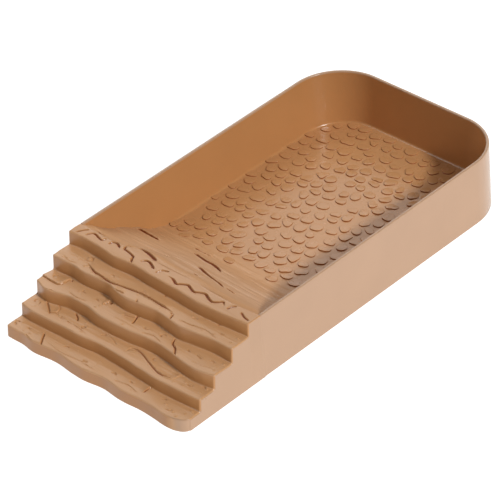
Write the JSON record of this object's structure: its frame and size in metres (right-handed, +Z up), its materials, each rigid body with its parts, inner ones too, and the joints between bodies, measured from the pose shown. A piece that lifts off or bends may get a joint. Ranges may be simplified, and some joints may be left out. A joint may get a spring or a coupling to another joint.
{
  "type": "stepped reptile bathing dish",
  "caption": "Shallow rectangular dish with a cobbled basin, thin upright walls with round rear corners, and a flight of wavy rock-like steps leading in over a ledge and slope.",
  "frame": {"origin": "centre of the bounding box on the ground it stands on", "axes": "+X to the right of someone who looks in over the steps, +Y along the dish from the steps to the rear wall, +Z up"},
  "size_m": [0.149, 0.2999, 0.045],
  "materials": {
    "dish_plastic": "satin tan moulded plastic, darker brown where the inner walls and hollows are shaded"
  },
  "bodies": {
    "root": {"left_wall": "dish_plastic", "right_wall": "dish_plastic", "rear_wall": "dish_plastic", "basin_floor": "dish_plastic", "slope": "dish_plastic", "ledge": "dish_plastic", "step_1": "dish_plastic", "step_2": "dish_plastic", "step_3": "dish_plastic", "step_4": "dish_plastic"}
  },
  "joints": []
}
